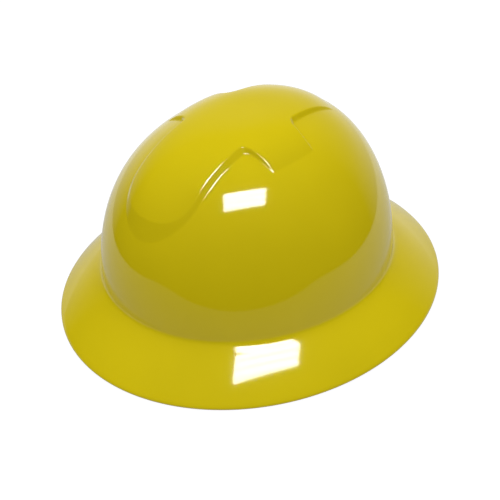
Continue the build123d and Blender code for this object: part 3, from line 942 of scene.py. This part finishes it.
def thread(name, colour):
    """Twisted sewing thread, painted darker where the twist's bump is low, as shade in its grooves."""
    material, tree, shader = new_material(name)
    twist = noise(tree, scale=2400, detail=2, roughness=0.5)
    # The darker colour is painted shade for the low parts of the twist, which the same noise bumps.
    dark = tuple(part * 0.6 for part in colour)
    tree.links.new(ramp(tree, twist, [(0.35, dark), (0.65, colour)]), shader.inputs["Base Color"])
    tree.links.new(spread(tree, twist, low=0.45, high=0.65), shader.inputs["Roughness"])
    add_bump(tree, shader, twist, strength=0.4, distance=0.0001)
    return material


webbing = webbing_cloth()
pale_thread = thread("pale_thread", (0.75, 0.75, 0.72))
for name, (side, top) in strap_tops.items():
    frame_points = strap_frame(strap_route(side, top), side)
    form = webbing_mesh(name + "_webbing", *frame_points)
    place_piece(name + "_webbing", form, "suspension", webbing, [name])
    seams = strap_seams(frame_points, -1 if name == "crown_strap_lower" else 1)
    form = stitches_mesh(name + "_stitches", seams)
    place_piece(name + "_stitches", form, "suspension", pale_thread)

# Headband: black polyethylene moulding that goes round the front and sides of the head.
# Its tabs and rear arms have slotted lugs, and it hangs on the keys' tongues.

band_plastic, *_ = moulded(
    "band_plastic", colour=(0.024, 0.024, 0.026), change=0.4, cloud=45, grain=1900,
    rough=(0.3, 0.46), depth=0.4,
)
finish_nodes(band_plastic, "headband")

# Sweatband: foam strip in knitted cloth, quilted in three channels, on the inside of the
# headband's front. Its edges are sewn flat, and its ends are rounded.

pad_inset = 1.9
pad_thickness = 3
pad_low = 9
pad_high = 43
pad_end = -19
pad_edge_thickness = 0.9
pad_edge_run = 5.72
pad_edge_power = 0.7
pad_edge_lift = 0.12
pad_seam_depth = 1.1
pad_seam_width = 1.3
pad_corner = 7
pad_rise_steps = 56
pad_seam_shares = (1 / 3, 2 / 3)
crease_depth = 0.1
crease_lengths = (5.1, 3.3)
crease_start = 1
channel_seam_depth = pad_thickness - pad_seam_depth - crease_depth
edge_seam_inset = 1.3
edge_seam_depth = 1.9
seam_end_points = 6
pad_thread_lift = 0.4
sweat_points = 300
loop_width = 0.0012
loop_height = 0.0009


def pad_mesh(name, outer, inner, low, high, seam_shares):
    """Crowned cushion between two plan lines, flat on the outer one, with sewn channels."""
    lengths = np.concatenate([[0], np.cumsum(np.hypot(*np.diff(outer, axis=0).T))])
    rows = []
    for length, out_point, in_point in zip(lengths, outer, inner):
        from_end = min(length, lengths[-1] - length)
        tuck = 0
        if from_end < pad_corner:
            tuck = pad_corner - math.sqrt(pad_corner ** 2 - (pad_corner - from_end) ** 2)
        bottom, top = low + tuck, high - tuck
        end_share = float(smooth_step(0, pad_edge_run, from_end))
        wrinkle = math.sin(length / crease_lengths[0]) * math.sin(length / crease_lengths[1] + crease_start)
        front, back = [], []
        for number in range(pad_rise_steps + 1):
            height = bottom + (top - bottom) * number / pad_rise_steps
            edge = min(height - bottom, top - height)
            edge_share = math.sin(min(edge / pad_edge_run, 1) * math.pi / 2) ** pad_edge_power
            crown = edge_share * end_share
            full = pad_edge_thickness + (pad_thickness - pad_edge_thickness) * crown
            for seam_share in seam_shares:
                away = abs(height - low - (high - low) * seam_share)
                full -= pad_seam_depth * math.exp(-(away / pad_seam_width) ** 2) * end_share
            full += crease_depth * (wrinkle - 1) * crown
            front.append((*(out_point + (in_point - out_point) * full / pad_thickness), height))
            height = top - (top - bottom) * number / pad_rise_steps
            lift = pad_edge_lift if number in (0, pad_rise_steps) else 0
            back.append((*(out_point + (in_point - out_point) * lift), height))
        rows.append(front + back)
    mesh = close_mesh(name, rows)
    add_map(mesh, "knit_map", [[(length, spot[2]) for spot in row] for length, row in zip(lengths, rows)])
    return mesh


def pad_seams(outer, inner, low, high, seam_shares):
    """Seams on a pad's inner face: one along each channel, and one along each edge."""
    heights = [(low + (high - low) * share, channel_seam_depth) for share in seam_shares]
    heights += [(low + edge_seam_inset, edge_seam_depth), (high - edge_seam_inset, edge_seam_depth)]
    sewn = slice(seam_end_points, -seam_end_points)
    seams = []
    for height, depth in heights:
        seam = []
        for out_point, in_point in zip(outer[sewn], inner[sewn]):
            inward = (in_point - out_point) / pad_thickness
            point = out_point + inward * (depth + thread_radius * pad_thread_lift)
            seam.append((Vector((*point, height)), Vector((*inward, 0)).normalized()))
        seams.append(seam)
    return seams


def knit_cloth():
    """Charcoal knit over foam: small loops in columns, soft sheen and lint, with painted shade darkening the
    gaps between loops.
    """
    material, tree, shader = new_material("knit_cloth")
    place = mapped_place(tree, "knit_map")
    columns_across = wave(tree, place, "X", loop_width)
    rows_up = wave(tree, place, "Y", loop_height)
    loops = calculate(tree, "MULTIPLY", columns_across, calculate(tree, "POWER", rows_up, 0.6))
    lint = noise(tree, scale=420, detail=4, roughness=0.65)
    # Colour follows the loops' height: painted shade between the loops, with the lint's own uneven tone mixed
    # in.
    shade = calculate(tree, "MULTIPLY_ADD", loops, 0.6, calculate(tree, "MULTIPLY", lint, 0.4))
    colour = ramp(tree, shade, [(0.1, (0.012, 0.012, 0.014)), (0.8, (0.075, 0.076, 0.082))])
    tree.links.new(colour, shader.inputs["Base Color"])
    tree.links.new(spread(tree, lint, low=0.78, high=0.95), shader.inputs["Roughness"])
    shader.inputs["Sheen Weight"].default_value = 0.35
    add_bump(tree, shader, loops, strength=0.7, distance=0.0003)
    return material


knit = knit_cloth()
dark_thread = thread("dark_thread", (0.05, 0.05, 0.055))
sweat_start = math.asin((band_centre - pad_end) / (band_front_reach - pad_inset))
sweat_turns = np.linspace(sweat_start, math.pi - sweat_start, sweat_points)


def sweatband_line(inset):
    """Plan line of the headband's front oval, moved in by inset."""
    x = (band_half_width - inset) * np.cos(sweat_turns)
    y = band_centre - (band_front_reach - inset) * np.sin(sweat_turns)
    return np.stack([x, y], axis=-1)


sweat_shape = (
    sweatband_line(pad_inset), sweatband_line(pad_inset + pad_thickness),
    pad_low, pad_high, pad_seam_shares,
)
sweat_mesh = pad_mesh("sweatband_pad", *sweat_shape)
sweatband = place_piece("sweatband_pad", sweat_mesh, "suspension", knit, ["sweatband"])
sweat_stitches = stitches_mesh("sweatband_stitches", pad_seams(*sweat_shape))
place_piece("sweatband_stitches", sweat_stitches, "suspension", dark_thread)

# Side pivots: a stud goes in from outside through the headband and the ratchet strap, and a
# cap snaps on it inside. Both are nylon, and the nape part of the band tilts on them.

finish_nodes(key_nylon, "pivot_stud_left", "pivot_stud_right", "pivot_cap_left", "pivot_cap_right")

# Ratchet straps: two bent strips of the headband's plastic, each with a toothed slot. One is
# inside the other, and the pinion between their teeth draws both through the housing.

finish_nodes(band_plastic, "rack_strap_left", "rack_strap_right")

# Ratchet housing: base and cover joined at their rims round the two straps, with a cushion
# on the base and an acetal spring on the cover's post that clicks on the knob's teeth.

nape_pad_radius = 70.4
nape_pad_turn = math.radians(22)
nape_pad_low = 9.1
nape_pad_high = 32.9
nape_points = 90
acetal, *_ = moulded(
    "acetal", colour=(0.72, 0.71, 0.66), change=0.06, cloud=80, grain=3000,
    rough=(0.26, 0.38), depth=0.15,
)
finish_nodes(band_plastic, "ratchet_base", "ratchet_cover")
finish_nodes(acetal, "detent_spring")
nape_turns = np.linspace(-nape_pad_turn, nape_pad_turn, nape_points)


def nape_line(radius):
    """Plan arc behind the head."""
    return np.stack([radius * np.sin(nape_turns), nape_centre + radius * np.cos(nape_turns)], axis=-1)


nape_shape = (
    nape_line(nape_pad_radius), nape_line(nape_pad_radius - pad_thickness),
    nape_pad_low, nape_pad_high, (0.5,),
)
nape_mesh = pad_mesh("nape_cushion", *nape_shape)
nape_cushion = place_piece("nape_cushion", nape_mesh, "nape", knit, ["nape_pad"])
nape_stitches = stitches_mesh("nape_stitches", pad_seams(*nape_shape))
place_piece("nape_stitches", nape_stitches, "nape", dark_thread)

# Knob: nylon cup with finger grips and click teeth, pushed on the acetal pinion's square end
# and held by one steel screw.


def turned_steel():
    """Bright steel, finely uneven in its gloss, with faint stains."""
    material, tree, shader = new_material("turned_steel")
    stain = noise(tree, scale=500, detail=3, roughness=0.6)
    colour = ramp(tree, stain, [(0.3, (0.48, 0.48, 0.47)), (0.7, (0.62, 0.62, 0.61))])
    tree.links.new(colour, shader.inputs["Base Color"])
    shader.inputs["Metallic"].default_value = 1
    marks = noise(tree, scale=5000, detail=2, roughness=0.5)
    tree.links.new(spread(tree, marks, low=0.22, high=0.4), shader.inputs["Roughness"])
    add_bump(tree, shader, marks, strength=0.2, distance=0.00005)
    return material


finish_nodes(key_nylon, "knob")
finish_nodes(acetal, "pinion")
finish_nodes(turned_steel(), "knob_screw")

# Stage: pale table, soft studio light and the camera at the photograph's angle.
# None of it is part of the hat.

camera_target = (0, 0, 60)
camera_azimuth = math.radians(44.6)
camera_height = math.radians(34.63)
camera_roll = math.radians(-1.4)
camera_distance = 854
camera_lens = 80.5
camera_sensor = 36
camera_shift = (-0.0029, -0.0717)
camera_reach = 20
table_near = 0.27
table_left = 0.30
table_right = 0.36
table_far = 0.9
table_corner = 0.08
table_corner_steps = 8
table_drop = 0.0003
table_grey = 0.24
table_seen = 0.82
table_unseen = 0.05
backdrop_azimuth = camera_azimuth - math.radians(4)
backdrop_stops = ((0, 0.85), (0.25, 0.48), (0.45, 0.27), (0.62, 0.2), (0.75, 0.05), (0.9, 0.01))
room_grey = 0.01
sky_stops = ((0, 0), (0.375, 0.34), (1, 1.54))
soft_box_azimuth = 71
soft_box_height = 57.5
soft_box_distance = 4
soft_box_target = (53, -57, 125)
soft_box_turn = -12
soft_box_corners = ((-0.92, 0.56), (1.16, 0.6), (1.02, -0.44), (-1.13, -0.58))
soft_box_stripe = 0.34
soft_box_strength = 27
soft_box_dim = 0.72
white = (1, 1, 1, 1)


def direction(azimuth, height):
    """Unit vector for an azimuth from the front toward the wearer's left, and a height angle."""
    return Vector((
        math.sin(azimuth) * math.cos(height),
        -math.cos(azimuth) * math.cos(height),
        math.sin(height),
    ))


def make_camera():
    """Camera at the place that was fitted to the photograph."""
    back = direction(camera_azimuth, camera_height)
    right = Vector((math.cos(camera_azimuth), math.sin(camera_azimuth), 0))
    up = back.cross(right)
    rolled_right = right * math.cos(camera_roll) + up * math.sin(camera_roll)
    rolled_up = up * math.cos(camera_roll) - right * math.sin(camera_roll)
    turn = Matrix((rolled_right, rolled_up, back)).transposed().to_4x4()
    place = (Vector(camera_target) + back * camera_distance) * mm
    data = bpy.data.cameras.new("camera")
    data.lens = camera_lens
    data.sensor_width = camera_sensor
    data.shift_x, data.shift_y = camera_shift
    data.clip_end = camera_reach
    camera = bpy.data.objects.new("camera", data)
    camera.matrix_world = Matrix.Translation(place) @ turn
    bpy.context.scene.collection.objects.link(camera)
    bpy.context.scene.camera = camera


def is_ray(tree, kind):
    """Light path flag for one kind of ray."""
    return tree.nodes.new("ShaderNodeLightPath").outputs[kind]


def toward_backdrop(tree, place):
    """How far a place or direction lies toward the backdrop."""
    node = tree.nodes.new("ShaderNodeVectorMath")
    node.operation = "DOT_PRODUCT"
    node.inputs[1].default_value = (-math.sin(backdrop_azimuth), math.cos(backdrop_azimuth), 0)
    tree.links.new(place, node.inputs[0])
    return node.outputs["Value"]


def grey_ramp(tree, value, stops):
    """Ramp of greys over a value."""
    return ramp(tree, value, [(place, (grey, grey, grey)) for place, grey in stops])


def make_table():
    """Pale round-cornered table top, darker to reflections and to the rest than to the camera."""
    outline = bmesh.new()
    corners = [
        (table_left, table_near), (-table_right, table_near),
        (-table_right, -table_far), (table_left, -table_far),
    ]
    points = []
    for x, y in corners:
        centre = Vector((x - math.copysign(table_corner, x), y - math.copysign(table_corner, y)))
        start = math.atan2(math.copysign(1, y), math.copysign(1, x)) - math.pi / 4
        for step in range(table_corner_steps + 1):
            turn = start + step * math.pi / 2 / table_corner_steps
            points.append(centre + table_corner * Vector((math.cos(turn), math.sin(turn))))
    toward = Vector((math.sin(camera_azimuth), -math.cos(camera_azimuth)))
    across = Vector((-toward.y, toward.x))
    points.sort(key=lambda point: math.atan2(point.y, point.x))
    edge = [(*(across * -point.x + toward * point.y), -table_drop) for point in points]
    outline.faces.new([outline.verts.new(point) for point in edge])
    mesh = bpy.data.meshes.new("table")
    outline.to_mesh(mesh)
    outline.free()
    table = bpy.data.objects.new("table", mesh)
    bpy.context.scene.collection.objects.link(table)
    material, tree, shader = new_material("table")
    shader.inputs["Base Color"].default_value = (table_grey, table_grey, table_grey, 1)
    shader.inputs["Roughness"].default_value = 0.9
    shader.inputs["Specular IOR Level"].default_value = 0.1
    shader.inputs["Emission Color"].default_value = white
    behind = toward_backdrop(tree, place_in(tree, "Object"))
    reflected = spread(tree, behind, low=0.04, high=0.6, from_low=-0.25, from_high=0.3)
    light = mix(tree, is_ray(tree, "Is Glossy Ray"), table_unseen, reflected)
    light = mix(tree, is_ray(tree, "Is Camera Ray"), light, table_seen)
    tree.links.new(light, shader.inputs["Emission Strength"])
    mesh.materials.append(material)


def make_world():
    """White to the camera, a bright backdrop behind the hat to its gloss, an even sky to the rest."""
    world = bpy.data.worlds.new("studio")
    bpy.context.scene.world = world
    world.use_nodes = True
    tree = world.node_tree
    tree.nodes.clear()
    output = tree.nodes.new("ShaderNodeOutputWorld")
    coordinates = place_in(tree, "Generated")
    split = tree.nodes.new("ShaderNodeSeparateXYZ")
    tree.links.new(coordinates, split.inputs[0])
    behind = toward_backdrop(tree, coordinates)
    facing = spread(tree, behind, low=0, high=1, from_low=0.4, from_high=0.97)
    rise = grey_ramp(tree, split.outputs["Z"], backdrop_stops)
    gloss = mix(tree, facing, (room_grey, room_grey, room_grey, 1), rise, kind="RGBA")
    height = spread(tree, split.outputs["Z"], low=0, high=1, from_low=-0.6, from_high=1)
    sky = grey_ramp(tree, height, sky_stops)

    def background(colour):
        """Background of one colour."""
        node = tree.nodes.new("ShaderNodeBackground")
        put(tree, node.inputs["Color"], colour)
        return node.outputs[0]

    def choose(flag, no, yes):
        """One background or the other, by a flag."""
        node = tree.nodes.new("ShaderNodeMixShader")
        for socket, value in zip(node.inputs, (flag, no, yes)):
            tree.links.new(value, socket)
        return node.outputs[0]

    result = choose(is_ray(tree, "Is Glossy Ray"), background(sky), background(gloss))
    result = choose(is_ray(tree, "Is Camera Ray"), result, background(white))
    tree.links.new(result, output.inputs[0])


def make_soft_box():
    """Slanted soft box seen only in the gloss, with the soft stripes of the tubes in it."""
    facing = direction(math.radians(soft_box_azimuth), math.radians(soft_box_height))
    turn = facing.to_track_quat("Z", "Y").to_matrix().to_4x4()
    spot = Matrix.Translation(Vector(soft_box_target) * mm + facing * soft_box_distance)
    mesh = bpy.data.meshes.new("soft_box")
    mesh.from_pydata([(*corner, 0) for corner in soft_box_corners], [], [(0, 3, 2, 1)])
    box = bpy.data.objects.new("soft_box", mesh)
    box.matrix_world = spot @ turn @ Matrix.Rotation(math.radians(soft_box_turn), 4, "Z")
    bpy.context.scene.collection.objects.link(box)
    box.visible_diffuse = False
    box.visible_camera = False
    material, tree, shader = new_material("soft_box")
    shader.inputs["Base Color"].default_value = (0, 0, 0, 1)
    shader.inputs["Emission Color"].default_value = white
    stripes = wave(tree, place_in(tree, "Object"), "Y", soft_box_stripe)
    stripes = calculate(tree, "POWER", stripes, 0.5)
    dim = soft_box_dim * soft_box_strength
    strength = spread(tree, stripes, low=dim, high=soft_box_strength, from_low=0, from_high=1)
    tree.links.new(strength, shader.inputs["Emission Strength"])
    mesh.materials.append(material)


make_camera()
make_table()
make_world()
make_soft_box()
bpy.context.scene.view_settings.view_transform = "Standard"
